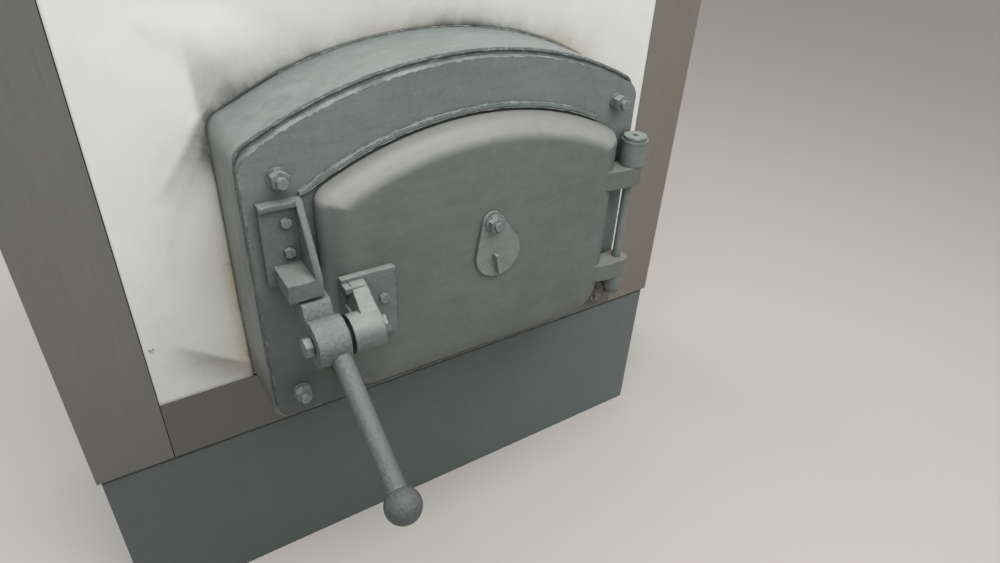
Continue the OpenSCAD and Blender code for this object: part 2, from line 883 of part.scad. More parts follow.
module teardrop2d(l, r0, r1) {
    a = asin((r1 - r0) / l);
    circle(r = r0 + blend, $fn = 64);
    translate([0, -l])
        circle(r = r1 + blend, $fn = 96);
    polygon([
        [r0 * cos(a), r0 * sin(a)],
        [-r0 * cos(a), r0 * sin(a)],
        [-r1 * cos(a), -l + r1 * sin(a)],
        [r1 * cos(a), -l + r1 * sin(a)]
    ]);
}

module sight_cover() {
    y1 = door_face - sight_gap;
    color(steel)
    difference() {
        union() {
            stand(y1 - sight_t, y1)
                translate([sight_x, sight_z])
                    rotate([0, 0, sight_a])
                        teardrop2d(sight_l, sight_top_d / 2, sight_d / 2);
            translate([sight_x, 0, sight_z])
                rotate([0, -sight_a, 0])
                    block(-fin_in - 2.5, -fin_in + 2.5, y1 - sight_t - fin_h, y1 - sight_t + e,
                        -sight_l - 26, -sight_l + 4);
        }
        disc_y(sight_x, y1 + 1, sight_z, sight_stud_d + 2 * pin_clear, sight_t + 2);
    }
}

module lever_hub() {
    x0 = hub_x0;
    x1 = hub_x1;
    nx1 = door_left - nose_side;
    top = keeper_z0 + 3 - nose_gap;
    color(steel)
    difference() {
        union() {
            rod_x(x0, x1, lever_y, hub_z, hub_d);
            // nose that reaches in under the keeper's block
            across(x0 + 1, nx1)
                polygon([
                    [lever_y + 17, hub_z + hub_d / 2 - 9],
                    [lever_y + 24, top - 4],
                    [lever_y + 28, top],
                    [lever_y + nose_reach, top],
                    [lever_y + nose_reach, top - nose_t + 2],
                    [lever_y + hub_d / 2 - 2, hub_z + 8],
                    [lever_y, hub_z - 6]
                ]);
        }
        rod_x(x0 - 1, x1 + 1, lever_y, hub_z, pivot_d + 2 * pin_clear);
    }
}

module lever_rod() {
    color(steel)
    difference() {
        translate([rod_x0, lever_y, hub_z])
            rotate([90 + rod_a, 0, 0])
                cylinder(d = rod_d, h = rod_l, $fn = 64);
        rod_x(hub_x0 - 1, hub_x1 + 1, lever_y, hub_z, hub_d + 0.2);
        translate([rod_x0, lever_y - rod_l * cos(rod_a), hub_z - rod_l * sin(rod_a)])
            sphere(d = ball_d + 0.2, $fn = 64);
    }
}

module lever_ball() {
    color(steel)
    translate([rod_x0, lever_y - rod_l * cos(rod_a), hub_z - rod_l * sin(rod_a)])
        sphere(d = ball_d, $fn = 64);
}

plinth();
left_trim();
right_trim();
low_strip();
top_strip();
front_panel();
left_side_panel();
right_side_panel();
top_cover();
panel_screws();
front_insulation();
front_plate();
furnace_tunnel();
rear_plate();
mouthpiece();
door_frame();
frame_studs();
rope_seal();
keeper_bracket();
keeper_bolts();
hinge_rod();
door_leaf();
heat_shield();
shield_spacers();
door_bracket();
bracket_bolts();
pivot_bolt();
sight_stud();
sight_cover();
lever_hub();
lever_rod();
lever_ball();
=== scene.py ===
import json
import math

import bmesh
import bpy
from mathutils import Matrix, Vector, noise

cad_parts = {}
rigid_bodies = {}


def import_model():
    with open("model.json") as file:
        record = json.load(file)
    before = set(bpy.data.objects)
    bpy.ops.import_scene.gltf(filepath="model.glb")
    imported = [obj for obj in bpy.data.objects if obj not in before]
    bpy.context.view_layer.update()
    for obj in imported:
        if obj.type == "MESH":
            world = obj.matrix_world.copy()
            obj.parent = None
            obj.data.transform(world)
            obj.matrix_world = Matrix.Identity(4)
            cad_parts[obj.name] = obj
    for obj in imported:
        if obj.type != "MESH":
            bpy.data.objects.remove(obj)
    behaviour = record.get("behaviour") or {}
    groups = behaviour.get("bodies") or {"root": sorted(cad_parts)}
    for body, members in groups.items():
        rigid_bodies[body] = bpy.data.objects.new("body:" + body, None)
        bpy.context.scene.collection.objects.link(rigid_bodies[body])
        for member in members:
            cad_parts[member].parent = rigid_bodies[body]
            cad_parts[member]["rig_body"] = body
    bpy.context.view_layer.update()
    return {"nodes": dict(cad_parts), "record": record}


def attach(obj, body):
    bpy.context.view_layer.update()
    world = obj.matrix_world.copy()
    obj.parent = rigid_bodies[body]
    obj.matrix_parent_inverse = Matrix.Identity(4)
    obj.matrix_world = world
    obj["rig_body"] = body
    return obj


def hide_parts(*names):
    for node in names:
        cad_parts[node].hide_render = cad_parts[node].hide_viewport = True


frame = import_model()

N = frame["nodes"]

# ---------------------------------------------------------------- camera, set at the photograph's view
cam = bpy.data.objects.new("camera", bpy.data.cameras.new("camera"))
bpy.context.scene.collection.objects.link(cam)
cam.data.sensor_width = 36.0
cam.data.lens = 24.7774
right = Vector((0.841052, -0.538791, 0.048317))
down = Vector((-0.263544, -0.486111, -0.833211))
ahead = Vector((0.472414, 0.688040, -0.550840))
rot = Matrix((right, -down, -ahead)).transposed()
cam.matrix_world = Matrix.Translation((-0.408275, -0.801260, 1.066945)) @ rot.to_4x4()
cam.data.clip_start = 0.02
cam.data.clip_end = 60.0
bpy.context.scene.camera = cam
bpy.context.scene.view_settings.view_transform = "Standard"

# ---------------------------------------------------------------- materials


class Tree:
    """A short way to write a material's nodes."""

    def __init__(self, name):
        self.mat = bpy.data.materials.new(name)
        self.mat.use_nodes = True
        self.nt = self.mat.node_tree
        self.nt.nodes.clear()
        self.out = self.nt.nodes.new("ShaderNodeOutputMaterial")
        self.bsdf = self.nt.nodes.new("ShaderNodeBsdfPrincipled")
        self.nt.links.new(self.bsdf.outputs[0], self.out.inputs[0])
        self.coord = self.nt.nodes.new("ShaderNodeTexCoord").outputs["Object"]

    def put(self, socket, value):
        if hasattr(value, "links"):
            self.nt.links.new(value, socket)
        elif isinstance(value, (tuple, list)):
            socket.default_value = (*value, 1.0) if len(value) == 3 and socket.type == "RGBA" else tuple(value)
        else:
            socket.default_value = value

    def node(self, kind, **inputs):
        n = self.nt.nodes.new(kind)
        for k, v in inputs.items():
            self.put(n.inputs[int(k[1:])] if k[0] == "i" and k[1:].isdigit() else n.inputs[k], v)
        return n

    def stretch(self, scale):
        m = self.nt.nodes.new("ShaderNodeMapping")
        self.put(m.inputs["Vector"], self.coord)
        m.inputs["Scale"].default_value = scale
        return m.outputs[0]

    def noise(self, scale, detail=4.0, rough=0.55, vector=None, w=0.0):
        n = self.nt.nodes.new("ShaderNodeTexNoise")
        n.noise_dimensions = "4D"
        self.put(n.inputs["Vector"], vector if vector is not None else self.coord)
        n.inputs["W"].default_value = w
        n.inputs["Scale"].default_value = scale
        n.inputs["Detail"].default_value = detail
        n.inputs["Roughness"].default_value = rough
        return n.outputs["Fac"]

    def ramp(self, fac, a, b, lo=0.0, hi=1.0):
        """Maps fac from a..b to lo..hi, clamped."""
        n = self.nt.nodes.new("ShaderNodeMapRange")
        n.clamp = True
        self.put(n.inputs["Value"], fac)
        for k, v in (("From Min", a), ("From Max", b), ("To Min", lo), ("To Max", hi)):
            n.inputs[k].default_value = v
        return n.outputs[0]

    def math(self, op, a, b=0.0, clamp=False):
        n = self.nt.nodes.new("ShaderNodeMath")
        n.operation = op
        n.use_clamp = clamp
        self.put(n.inputs[0], a)
        self.put(n.inputs[1], b)
        return n.outputs[0]

    def mix(self, fac, a, b):
        n = self.nt.nodes.new("ShaderNodeMix")
        n.data_type = "RGBA"
        self.put(n.inputs["Factor"], fac)
        self.put(n.inputs[6], a)
        self.put(n.inputs[7], b)
        return n.outputs[2]

    def edge(self, radius=0.003, lo=0.02, hi=0.25):
        """1 on sharp edges, 0 on faces."""
        b = self.nt.nodes.new("ShaderNodeBevel")
        b.samples = 4
        b.inputs["Radius"].default_value = radius
        g = self.nt.nodes.new("ShaderNodeNewGeometry")
        d = self.nt.nodes.new("ShaderNodeVectorMath")
        d.operation = "DOT_PRODUCT"
        self.put(d.inputs[0], b.outputs[0])
        self.put(d.inputs[1], g.outputs["True Normal"])
        return self.ramp(self.math("SUBTRACT", 1.0, d.outputs["Value"]), lo, hi)

    def up(self):
        g = self.nt.nodes.new("ShaderNodeNewGeometry")
        s = self.nt.nodes.new("ShaderNodeSeparateXYZ")
        self.put(s.inputs[0], g.outputs["Normal"])
        return s.outputs["Z"]

    def facing(self, axis):
        """How far the face looks along an axis, -1 to 1."""
        g = self.nt.nodes.new("ShaderNodeNewGeometry")
        s = self.nt.nodes.new("ShaderNodeSeparateXYZ")
        self.put(s.inputs[0], g.outputs["Normal"])
        return s.outputs[axis]

    def axes(self):
        s = self.nt.nodes.new("ShaderNodeSeparateXYZ")
        self.put(s.inputs[0], self.coord)
        return s.outputs

    def corners(self, distance=0.02):
        """1 in corners and gaps, 0 in the open."""
        n = self.nt.nodes.new("ShaderNodeAmbientOcclusion")
        n.samples = 4
        n.inputs["Distance"].default_value = distance
        return self.math("SUBTRACT", 1.0, n.outputs["AO"], clamp=True)

    def bump(self, height, distance, strength=1.0, round_edges=0.0, normal=None):
        n = self.nt.nodes.new("ShaderNodeBump")
        n.inputs["Strength"].default_value = strength
        n.inputs["Distance"].default_value = distance
        self.put(n.inputs["Height"], height)
        if normal is not None:
            self.put(n.inputs["Normal"], normal)
        elif round_edges:
            b = self.nt.nodes.new("ShaderNodeBevel")
            b.samples = 4
            b.inputs["Radius"].default_value = round_edges
            self.put(n.inputs["Normal"], b.outputs[0])
        return n.outputs[0]

    def attribute(self, name):
        n = self.nt.nodes.new("ShaderNodeAttribute")
        n.attribute_name = name
        return n.outputs["Fac"]

    def done(self, colour, roughness, normal=None, metallic=0.0):
        self.put(self.bsdf.inputs["Base Color"], colour)
        self.put(self.bsdf.inputs["Roughness"], roughness)
        self.put(self.bsdf.inputs["Metallic"], metallic)
        if normal is not None:
            self.put(self.bsdf.inputs["Normal"], normal)
        return self.mat


def grey(c, k):
    return tuple(min(1.0, v * k) for v in c)


def casting_paint(name, base, seed=0.0, dust_and_top_light=0.4, chips=0.5, pitted=1.0, round_edges=0.0015,
                  top=(0.40, 0.40, 0.375), streaks=0.3, lumps=120.0, side=None, grit=0.35,
                  dirt_and_corner_shade_amount=1.0):
    """Brushed-on paint over rough cast iron: patchy, dusty and painted lighter on top, worn on the edges, darkened by
    dirt and painted shade in corners.
    """
    t = Tree(name)
    big = t.noise(5.0, 5.0, 0.6, w=seed)
    mid = t.noise(38.0, 6.0, 0.65, w=seed + 3)
    strokes = t.noise(55.0, 5.0, 0.65, vector=t.stretch((0.22, 1.0, 1.9)), w=seed + 5)
    lump = t.noise(lumps, 4.0, 0.6, w=seed + 6)
    fine = t.noise(480.0, 3.0, 0.65, w=seed + 7)
    c = t.mix(t.ramp(big, 0.35, 0.65), grey(base, 0.88), grey(base, 1.12))
    c = t.mix(t.ramp(mid, 0.42, 0.62, 0.0, 0.4), c, grey(base, 0.80))
    c = t.mix(t.ramp(strokes, 0.5, 0.72, 0.0, streaks), c, grey(base, 1.35))
    c = t.mix(t.ramp(strokes, 0.47, 0.33, 0.0, streaks), c, grey(base, 0.70))
    c = t.mix(t.ramp(lump, 0.54, 0.68, 0.0, grit), c, grey(base, 1.5))
    c = t.mix(t.ramp(fine, 0.56, 0.70, 0.0, 1.3 * grit), c, grey(base, 0.5))
    # Painted shade: the frame and the door darken towards the lower left.
    if name in ("frame_paint", "door_paint"):
        low = t.math("ADD", t.axes()["Z"], t.ramp(big, 0.3, 0.7, -0.04, 0.04))
        low = t.math("ADD", low, t.math("MULTIPLY", t.axes()["X"], 0.45))
        if name == "frame_paint":
            c = t.mix(t.ramp(low, 0.59, 0.36, 0.0, 0.82), c, grey(base, 0.26))
        else:
            c = t.mix(t.ramp(low, 0.62, 0.37, 0.0, 0.47), c, grey(base, 0.35))
    if name == "frame_paint":
        marks = t.noise(9.0, 8.0, 0.78, vector=t.stretch((0.8, 1.0, 1.6)), w=seed + 13)
        c = t.mix(t.ramp(marks, 0.57, 0.68, 0.0, 0.5), c, grey(base, 0.55))
        c = t.mix(t.ramp(marks, 0.43, 0.33, 0.0, 0.35), c, (0.19, 0.205, 0.215))
    if name in ("frame_paint", "fixing_paint"):
        z = t.math("ADD", t.axes()["Z"], t.ramp(mid, 0.3, 0.7, -0.02, 0.02))
        x = t.math("ADD", t.axes()["X"], t.ramp(big, 0.3, 0.7, -0.02, 0.02))
        c = t.mix(t.math("MULTIPLY", t.ramp(z, 0.48, 0.44), t.ramp(x, 0.205, 0.245, 0.0, 0.85), True), c, (0.10, 0.077, 0.062))
    if name in ("rod_paint", "ball_paint"):
        c = t.mix(t.ramp(t.axes()["Y"], -0.26, -0.36, 0.0, 0.34), c, grey(base, 0.4))
    # Painted light: faces looking towards -x, the left sides, take the lighter side colour.
    if side:
        c = t.mix(t.math("MULTIPLY", t.ramp(t.facing(0), -0.5, -0.95), t.ramp(mid, 0.3, 0.65, 0.5, 0.95), True), c, side)
    # Up-facing faces take the pale top colour: dust, and a painted highlight where light from above falls. On the door
    # it is strongest on the tilted rounded edge as a painted sheen band; on the frame it is broken up by noise.
    if name == "door_paint":
        upper = t.math("MULTIPLY", t.ramp(t.up(), 0.09, 0.36), t.ramp(mid, 0.35, 0.62, dust_and_top_light * 0.75, dust_and_top_light), True)
        speck = t.noise(70.0, 6.0, 0.75, w=seed + 15)
        pale = t.mix(t.ramp(t.up(), 0.25, 0.9), top, grey(top, 0.62))
        c = t.mix(upper, c, t.mix(t.ramp(speck, 0.55, 0.68, 0.0, 0.35), pale, (0.36, 0.30, 0.26)))
    else:
        upper = t.math("MULTIPLY", t.ramp(t.up(), 0.2, 0.92), t.ramp(mid, 0.35, 0.62, dust_and_top_light * 0.55, dust_and_top_light), True)
        if name == "frame_paint":
            upper = t.math("MULTIPLY", upper, t.ramp(t.noise(30.0, 4.0, 0.6, w=seed + 17), 0.42, 0.56, 0.2, 1.0), True)
        c = t.mix(upper, c, top)
    if name == "mouth_paint":
        c = t.mix(t.ramp(t.axes()["Y"], -0.055, -0.002, 0.0, 0.42), c, grey(base, 0.7))
        walls = t.ramp(t.facing(0), -0.5, -0.95)
        runs = t.noise(26.0, 6.0, 0.7, vector=t.stretch((1.0, 1.0, 0.22)), w=seed + 19)
        c = t.mix(t.math("MULTIPLY", walls, t.ramp(runs, 0.48, 0.64, 0.0, 0.5), True), c, grey(base, 0.5))
        c = t.mix(t.math("MULTIPLY", walls, t.ramp(t.axes()["Z"], 0.60, 0.46, 0.0, 0.22), True), c, (0.24, 0.23, 0.19))
        foot = t.math("ADD", t.axes()["Z"], t.ramp(mid, 0.3, 0.7, -0.012, 0.012))
        c = t.mix(t.math("MULTIPLY", walls, t.ramp(foot, 0.485, 0.425, 0.0, 0.7), True), c, (0.075, 0.068, 0.056))
    edge = t.edge(0.0028, 0.004, 0.14)
    flecks = t.noise(110.0, 6.0, 0.72, w=seed + 9)
    ragged = t.math("ADD", edge, t.ramp(flecks, 0.34, 0.66, -0.62, 0.5))
    c = t.mix(t.ramp(ragged, 0.6, 0.7, 0.0, chips), c, (0.33, 0.36, 0.355))
    gaps = t.noise(75.0, 6.0, 0.75, w=seed + 11)
    bare = t.math("ADD", edge, t.ramp(gaps, 0.34, 0.66, -0.85, 0.42))
    c = t.mix(t.ramp(bare, 0.66, 0.72, 0.0, chips), c, (0.022, 0.023, 0.022))
    # Dirt and painted shade: corners and gaps, found by ambient occlusion, go nearly black.
    dirt_and_corner_shade = t.math("MULTIPLY", t.ramp(t.corners(0.018), 0.3, 0.9), t.ramp(big, 0.3, 0.6, 0.45 * dirt_and_corner_shade_amount, 0.9 * dirt_and_corner_shade_amount), True)
    c = t.mix(dirt_and_corner_shade, c, (0.03, 0.031, 0.029))
    rough = t.ramp(mid, 0.3, 0.7, 0.44, 0.62)
    h = t.math("ADD", t.math("MULTIPLY", mid, 0.7), t.math("MULTIPLY", fine, 0.3))
    h = t.math("ADD", h, t.math("MULTIPLY", lump, 0.35 * pitted))
    return t.done(c, rough, t.bump(h, 0.0013 * pitted, 0.55, round_edges))


def sheet_paint(name, base, seed=0.0, rough=(0.32, 0.5), smudge=0.35, seam=None):
    t = Tree(name)
    big = t.noise(3.0, 4.0, 0.6, w=seed)
    mid = t.noise(26.0, 6.0, 0.7, w=seed + 2)
    rub = t.noise(14.0, 6.0, 0.7, vector=t.stretch((2.2, 1.0, 0.35)), w=seed + 3)
    fine = t.noise(700.0, 2.0, 0.5, w=seed + 4)
    c = t.mix(t.ramp(big, 0.35, 0.65), grey(base, 0.93), grey(base, 1.05))
    c = t.mix(t.ramp(mid, 0.55, 0.8, 0.0, smudge), c, grey(base, 0.8))
    c = t.mix(t.ramp(rub, 0.56, 0.72, 0.0, smudge), c, grey(base, 1.18))
    scuffs = t.noise(90.0, 6.0, 0.75, vector=t.stretch((1.0, 1.0, 0.3)), w=seed + 6)
    c = t.mix(t.ramp(scuffs, 0.64, 0.72, 0.0, 0.5 * smudge), c, grey(base, 1.9))
    # Painted shade: darker in corners and gaps, found by ambient occlusion.
    c = t.mix(t.ramp(t.corners(0.02), 0.3, 0.95, 0.0, 0.7), c, grey(base, 0.35))
    if seam:
        # Painted shade: the plinth darkens towards its left end.
        c = t.mix(t.ramp(t.axes()["X"], -0.25, 0.5, 0.52, 0.0), c, grey(base, 0.35))
        # A dark line along the top seam: painted shadow of the casing's overhang, with dirt in the seam.
        line = t.math("ADD", t.axes()["Z"], t.ramp(mid, 0.3, 0.7, -0.0012, 0.0012))
        c = t.mix(t.ramp(line, seam - 0.0012, seam, 0.0, 0.93), c, (0.012, 0.012, 0.012))
    h = t.math("ADD", fine, t.math("MULTIPLY", big, 4.0))
    return t.done(c, t.ramp(mid, 0.3, 0.7, *rough), t.bump(h, 0.0002, 0.6, 0.0008))


def brushed(name, base, along="z", seed=0.0, metallic=0.75):
    """Brushed stainless sheet, dull with handling marks."""
    t = Tree(name)
    s = {"z": (1.0, 1.0, 0.010), "x": (0.010, 1.0, 1.0)}[along]
    lines = t.noise(900.0, 3.0, 0.6, vector=t.stretch(s), w=seed)
    bands = t.noise(60.0, 4.0, 0.6, vector=t.stretch(s), w=seed + 1)
    big = t.noise(4.0, 5.0, 0.6, w=seed + 2)
    spots = t.noise(60.0, 6.0, 0.7, w=seed + 3)
    c = t.mix(t.ramp(lines, 0.35, 0.65), grey(base, 0.90), grey(base, 1.06))
    c = t.mix(t.ramp(bands, 0.4, 0.62, 0.0, 0.2), c, grey(base, 0.84))
    c = t.mix(t.ramp(big, 0.35, 0.7, 0.0, 0.4), c, grey(base, 0.8))
    c = t.mix(t.ramp(spots, 0.58, 0.8, 0.0, 0.25), c, grey(base, 1.2))
    # Painted shade: darker in corners and gaps, found by ambient occlusion.
    c = t.mix(t.ramp(t.corners(0.012), 0.35, 0.95, 0.0, 0.75), c, grey(base, 0.15))
    # Painted shade: upright trims darken towards the bottom.
    if along == "z":
        low = t.math("ADD", t.axes()["Z"], t.ramp(big, 0.3, 0.7, -0.06, 0.06))
        c = t.mix(t.ramp(low, 0.80, 0.28, 0.0, 0.46), c, grey(base, 0.4))
    rough = t.math("ADD", t.ramp(big, 0.3, 0.7, 0.36, 0.46), t.ramp(lines, 0.3, 0.7, -0.04, 0.06))
    return t.done(c, rough, t.bump(lines, 0.00015, 0.6, 0.0008), metallic)


def plain(name, base, rough=0.7, scale=60.0, seed=0.0, metallic=0.0, distance=0.0006):
    t = Tree(name)
    a = t.noise(scale, 6.0, 0.65, w=seed)
    b = t.noise(scale * 0.12, 4.0, 0.6, w=seed + 2)
    c = t.mix(t.ramp(a, 0.35, 0.7), grey(base, 0.75), grey(base, 1.2))
    c = t.mix(t.ramp(b, 0.4, 0.65, 0.0, 0.5), c, grey(base, 0.7))
    return t.done(c, t.ramp(a, 0.3, 0.7, rough - 0.08, rough + 0.08), t.bump(a, distance, 0.6, 0.0008), metallic)


def stained_panel(name, base):
    """White sheet with soot, painted shade, smeared paint and heat stain round the mouthpiece."""
    t = Tree(name)
    big = t.noise(3.0, 4.0, 0.6, w=3.0)
    mid = t.noise(22.0, 6.0, 0.68, w=5.0)
    fine = t.noise(90.0, 6.0, 0.7, w=7.0)
    wipe = t.noise(16.0, 6.0, 0.7, vector=t.stretch((1.6, 1.0, 0.5)), w=9.0)
    c = t.mix(t.ramp(big, 0.35, 0.65), grey(base, 0.96), grey(base, 1.02))
    c = t.mix(t.ramp(wipe, 0.5, 0.75, 0.0, 0.22), c, grey((0.60, 0.60, 0.57), 1.0))
    soot_and_shade = t.math("MULTIPLY", t.attribute("soot_and_shade"), t.ramp(mid, 0.32, 0.66, 0.72, 1.2), True)
    c = t.mix(soot_and_shade, c, (0.12, 0.123, 0.115))
    tan = t.math("MULTIPLY", t.attribute("tan"), t.ramp(fine, 0.36, 0.62, 0.6, 1.05), True)
    c = t.mix(tan, c, (0.46, 0.395, 0.285))
    c = t.mix(t.math("MULTIPLY", tan, t.ramp(fine, 0.60, 0.70, 0.0, 0.8), True), c, (0.16, 0.115, 0.07))
    near = t.math("ADD", t.attribute("near"), t.ramp(mid, 0.3, 0.7, -0.42, 0.22))
    near = t.math("ADD", near, t.ramp(fine, 0.3, 0.7, -0.12, 0.12))
    c = t.mix(t.ramp(near, 0.50, 0.86, 0.0, 0.8), c, (0.115, 0.125, 0.12))
    specks = t.noise(260.0, 5.0, 0.75, w=11.0)
    c = t.mix(t.ramp(specks, 0.68, 0.74, 0.0, 0.22), c, (0.2, 0.17, 0.13))
    # Painted shade: darker in corners, found by ambient occlusion.
    c = t.mix(t.ramp(t.corners(0.015), 0.35, 0.95, 0.0, 0.35), c, grey(base, 0.3))
    h = t.math("ADD", t.noise(700.0, 2.0, 0.5, w=13.0), t.math("MULTIPLY", big, 4.0))
    return t.done(c, t.ramp(mid, 0.3, 0.7, 0.34, 0.5), t.bump(h, 0.0002, 0.6))


GREEN = (0.140, 0.166, 0.164)
GREY = (0.118, 0.133, 0.127)
MATS = {
    "plinth_paint": sheet_paint("plinth_paint", (0.108, 0.133, 0.134), 1.0, (0.42, 0.58), 0.35, 0.2892),
    "trim_steel": brushed("trim_steel", (0.232, 0.234, 0.224), "z", 2.0),
    "panel_white": sheet_paint("panel_white", (0.72, 0.725, 0.70), 3.0),
    "screw_steel": plain("screw_steel", (0.62, 0.62, 0.60), 0.34, 200.0, 4.0, 0.8),
    "wool": plain("wool", (0.24, 0.22, 0.17), 0.95, 300.0, 5.0),
    "plate_dark": plain("plate_dark", (0.03, 0.03, 0.03), 0.6, 60.0, 6.0),
    "tunnel_steel": plain("tunnel_steel", (0.05, 0.04, 0.035), 0.85, 60.0, 7.0, 0.0, 0.002),
    "mouth_paint": casting_paint("mouth_paint", grey(GREEN, 1.12), 8.0, 0.42, 0.6, 1.0, 0.0015,
                                 (0.38, 0.39, 0.375), 0.75, 120.0, (0.24, 0.252, 0.237)),
    "frame_paint": casting_paint("frame_paint", grey(GREEN, 1.0), 9.0, 0.8, 0.95, 1.1, 0.0015, (0.38, 0.40, 0.39)),
    "fixing_paint": casting_paint("fixing_paint", grey(GREEN, 1.0), 10.0, 0.5, 0.8, 0.8, 0.0012, (0.42, 0.44, 0.43), grit=0.5),
    "rope": plain("rope", (0.5, 0.46, 0.36), 0.95, 400.0, 11.0),
    "door_paint": casting_paint("door_paint", GREY, 12.0, 0.72, 0.3, 0.8, 0.002, (0.385, 0.38, 0.36), 0.22, 120.0, (0.22, 0.235, 0.23), 0.25, 0.35),
    "shield_steel": plain("shield_steel", (0.07, 0.055, 0.045), 0.85, 80.0, 13.0, 0.0, 0.002),
    "bracket_paint": casting_paint("bracket_paint", grey(GREEN, 0.85), 14.0, 0.6, 0.7, 1.8, 0.0032, grit=0.45),
    "cover_paint": casting_paint("cover_paint", grey(GREY, 1.45), 15.0, 0.5, 0.7, 0.8),
    "lever_paint": casting_paint("lever_paint", grey(GREEN, 0.82), 16.0, 0.5, 0.6, 4.2, 0.0035, (0.38, 0.40, 0.40), 0.3, 230.0, None, 0.75),
}
for row in frame["record"]["subparts"]:
    o = N[row["node"]]
    o.data.materials.clear()
    o.data.materials.append(MATS[row["material_slot"]])
steel_flat = brushed("strip_steel", (0.148, 0.1465, 0.137), "x", 20.0)
N["lever_ball"].data.materials[0] = casting_paint("ball_paint", grey(GREEN, 0.52), 17.0, 0.25, 0.4, 3.4, 0.0,
                                                     (0.30, 0.32, 0.325), 0.3, 210.0, None, 0.9)
N["lever_rod"].data.materials[0] = casting_paint("rod_paint", grey(GREEN, 0.66), 18.0, 0.3, 0.4, 3.0, 0.0,
                                                    (0.31, 0.33, 0.335), 0.3, 210.0, None, 0.85)
N["keeper_bracket"].data.materials[0] = casting_paint("keeper_paint", grey(GREEN, 0.74), 24.0, 0.55, 0.7, 1.8, 0.0032,
                                                         (0.35, 0.355, 0.335), grit=0.45)
# Painted reflection and light: the right trim's steel is a warmer, lighter copy of the trim steel.
N["right_trim"].data.materials[0] = brushed("right_trim_steel", (0.35, 0.322, 0.283), "z", 30.0)
for n in ("low_strip", "top_strip"):
    N[n].data.materials.clear()
    N[n].data.materials.append(steel_flat)
N["top_cover"].data.materials[0] = sheet_paint("top_paint", (0.112, 0.111, 0.104), 22.0, (0.55, 0.72), 0.5)

# ---------------------------------------------------------------- smooth shading of the rounded CAD nodes
smooth = bpy.data.node_groups.new("smooth_by_angle", "GeometryNodeTree")
smooth.interface.new_socket("Geometry", in_out="INPUT", socket_type="NodeSocketGeometry")
smooth.interface.new_socket("Geometry", in_out="OUTPUT", socket_type="NodeSocketGeometry")
chain = [smooth.nodes.new(k) for k in ("NodeGroupInput", "GeometryNodeMergeByDistance", "GeometryNodeRemoveAttribute",
                                       "GeometryNodeSetShadeSmooth", "GeometryNodeSetShadeSmooth", "NodeGroupOutput")]
chain[1].inputs["Distance"].default_value = 1e-5
chain[2].inputs["Name"].default_value = "custom_normal"
chain[4].domain = "EDGE"
chain[4].inputs["Shade Smooth"].default_value = False
angle = smooth.nodes.new("GeometryNodeInputMeshEdgeAngle")
sharp = smooth.nodes.new("FunctionNodeCompare")
sharp.data_type = "FLOAT"
sharp.operation = "GREATER_THAN"
sharp.inputs[1].default_value = math.radians(34)
smooth.links.new(angle.outputs[0], sharp.inputs[0])
smooth.links.new(sharp.outputs[0], chain[4].inputs["Selection"])
for a, b in zip(chain, chain[1:]):
    smooth.links.new(a.outputs[0], b.inputs["Geometry"] if "Geometry" in b.inputs else b.inputs[0])
for n, o in N.items():
    m = o.modifiers.new("smooth", "NODES")
    m.node_group = smooth
    w = o.modifiers.new("weighted", "WEIGHTED_NORMAL")
    w.keep_sharp = True

# ---------------------------------------------------------------- front panel: thin sheet, buckled and stained, with painted shade
BODY = N["front_panel"]["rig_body"]
CX, CZ, R = 0.007, 0.289, 0.5623
HALF, RC = 0.2753, 0.0263
XL, XR = -HALF + RC, HALF - RC
FL = CZ + math.sqrt((R - RC) ** 2 - (XL - CX) ** 2)
FR = CZ + math.sqrt((R - RC) ** 2 - (XR - CX) ** 2)


def arch_path(grow=0.0, z0=0.396, step=0.005):
    """Points along the mouthpiece's outline, up the left side, over the arch, down the right."""
    al = math.atan2(FL - CZ, XL - CX)
    ar = math.atan2(FR - CZ, XR - CX)
    pts = []

    def line(a, b):
        k = max(2, int(math.dist(a, b) / step))
        pts.extend((a[0] + (b[0] - a[0]) * i / k, a[1] + (b[1] - a[1]) * i / k) for i in range(k))

    def arc(c, r, a, b):
        k = max(6, int(abs(b - a) * r / step))
        pts.extend((c[0] + r * math.cos(a + (b - a) * i / k), c[1] + r * math.sin(a + (b - a) * i / k)) for i in range(k))

    line((-HALF - grow, z0), (-HALF - grow, FL))
    arc((XL, FL), RC + grow, math.pi, al)
    arc((CX, CZ), R + grow, al, ar)
    arc((XR, FR), RC + grow, ar, 0.0)
    line((HALF + grow, FR), (HALF + grow, z0))
    pts.append((HALF + grow, z0))
    return pts


def near_line(p, line):
    """Distance to a run of points, the side of it (1 to the left, seen along it) and how far along."""
    best = (9.0, 1.0, 0.0)
    done = 0.0
    total = sum(math.dist(a, b) for a, b in zip(line, line[1:]))
    for a, b in zip(line, line[1:]):
        dx, dz = b[0] - a[0], b[1] - a[1]
        k = max(0.0, min(1.0, ((p[0] - a[0]) * dx + (p[1] - a[1]) * dz) / (dx * dx + dz * dz)))
        d = math.hypot(p[0] - a[0] - dx * k, p[1] - a[1] - dz * k)
        if d < best[0]:
            best = (d, 1.0 if dx * (p[1] - a[1]) - dz * (p[0] - a[0]) > 0 else -1.0, (done + k * math.hypot(dx, dz)) / total)
        done += math.hypot(dx, dz)
    return best


def step_up(v, a, b):
    k = max(0.0, min(1.0, (v - a) / (b - a)))
    return k * k * (3 - 2 * k)


# creases of the sheet, in x and z: down beside the corner, out to the side of it, and up from the lower end
CREASE_UP = [(-0.300, 0.855), (-0.287, 0.838), (-0.280, 0.800), (-0.2785, 0.776), (-0.284, 0.745), (-0.293, 0.728), (-0.305, 0.714),
             (-0.332, 0.668), (-0.346, 0.627), (-0.354, 0.570)]
CREASE_SIDE = [(-0.279, 0.775), (-0.300, 0.742), (-0.318, 0.718), (-0.345, 0.686)]
CREASE_LOW = [(-0.270, 0.420), (-0.324, 0.458), (-0.368, 0.490)]


